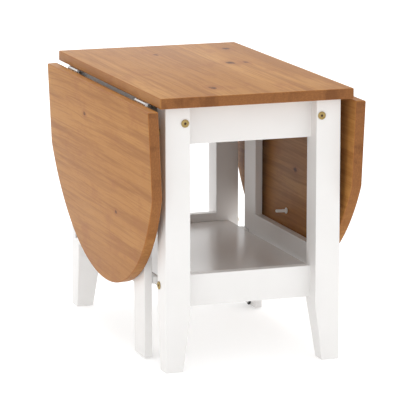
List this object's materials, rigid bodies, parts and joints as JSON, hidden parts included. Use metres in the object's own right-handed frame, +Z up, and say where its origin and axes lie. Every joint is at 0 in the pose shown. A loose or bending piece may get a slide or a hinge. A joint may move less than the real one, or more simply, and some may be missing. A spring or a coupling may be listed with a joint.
{
  "type": "drop leaf table",
  "caption": "Low drop leaf table with an oblong wooden top, rounded hanging leaves, white tapered legs, a low shelf and folding gates.",
  "frame": {"origin": "on the floor under the middle of the fixed top", "axes": "+Z up; +Y along the hinges, the long way of the fixed top; +X across the hinges, from the left leaf to the right leaf"},
  "size_m": [0.4256, 0.651, 0.52],
  "materials": {
    "stained_pine": "satin",
    "white_paint": "satin paint",
    "beech": "raw",
    "yellow_zinc": "yellow zinc plate",
    "bright_steel": "zinc plate",
    "white_plastic": "satin",
    "pad_rubber": "matt"
  },
  "bodies": {
    "frame": {"apron_back": "white_paint", "apron_front": "white_paint", "apron_left": "white_paint", "apron_right": "white_paint", "barrel_nuts": "bright_steel", "bracket_screws": "bright_steel", "frame_bolts": "yellow_zinc", "gate_catch_screws": "bright_steel", "gate_catch_strikes": "bright_steel", "gate_catches": "white_plastic", "gate_dowels": "beech", "gate_foot_pads": "pad_rubber", "gate_hinge_pins": "bright_steel", "gate_hinge_plates_leg": "bright_steel", "gate_hinge_plates_stile": "bright_steel", "gate_hinge_screws": "bright_steel", "gate_lower_rail_left": "white_paint", "gate_lower_rail_right": "white_paint", "gate_pad_screws": "bright_steel", "gate_post_left": "white_paint", "gate_post_right": "white_paint", "gate_stile_left": "white_paint", "gate_stile_right": "white_paint", "gate_upper_rail_left": "white_paint", "gate_upper_rail_right": "white_paint", "leaf_hinge_pins": "bright_steel", "leg_back_left": "white_paint", "leg_back_right": "white_paint", "leg_front_left": "white_paint", "leg_front_right": "white_paint", "lower_rail_back": "white_paint", "lower_rail_front": "white_paint", "rail_dowels": "beech", "shelf": "white_paint", "shelf_dowels": "beech", "table_top": "stained_pine", "top_brackets": "bright_steel", "top_hinge_plates": "bright_steel", "top_hinge_screws": "bright_steel"},
    "leaf_left": {"leaf_hinge_plates_left": "bright_steel", "leaf_hinge_screws_left": "bright_steel", "leaf_left": "stained_pine", "stop_peg_left": "white_plastic"},
    "leaf_right": {"leaf_hinge_plates_right": "bright_steel", "leaf_hinge_screws_right": "bright_steel", "leaf_right": "stained_pine", "stop_peg_right": "white_plastic"}
  },
  "joints": [
    {"name": "leaf_left_hinge", "type": "hinge", "parent": "frame", "child": "leaf_left", "pos_m": [-0.19, 0, 0.497], "axis": [0, 1, 0], "range_deg": [0, 92.5]},
    {"name": "leaf_right_hinge", "type": "hinge", "parent": "frame", "child": "leaf_right", "pos_m": [0.19, 0, 0.497], "axis": [0, -1, 0], "range_deg": [0, 92.5]}
  ]
}
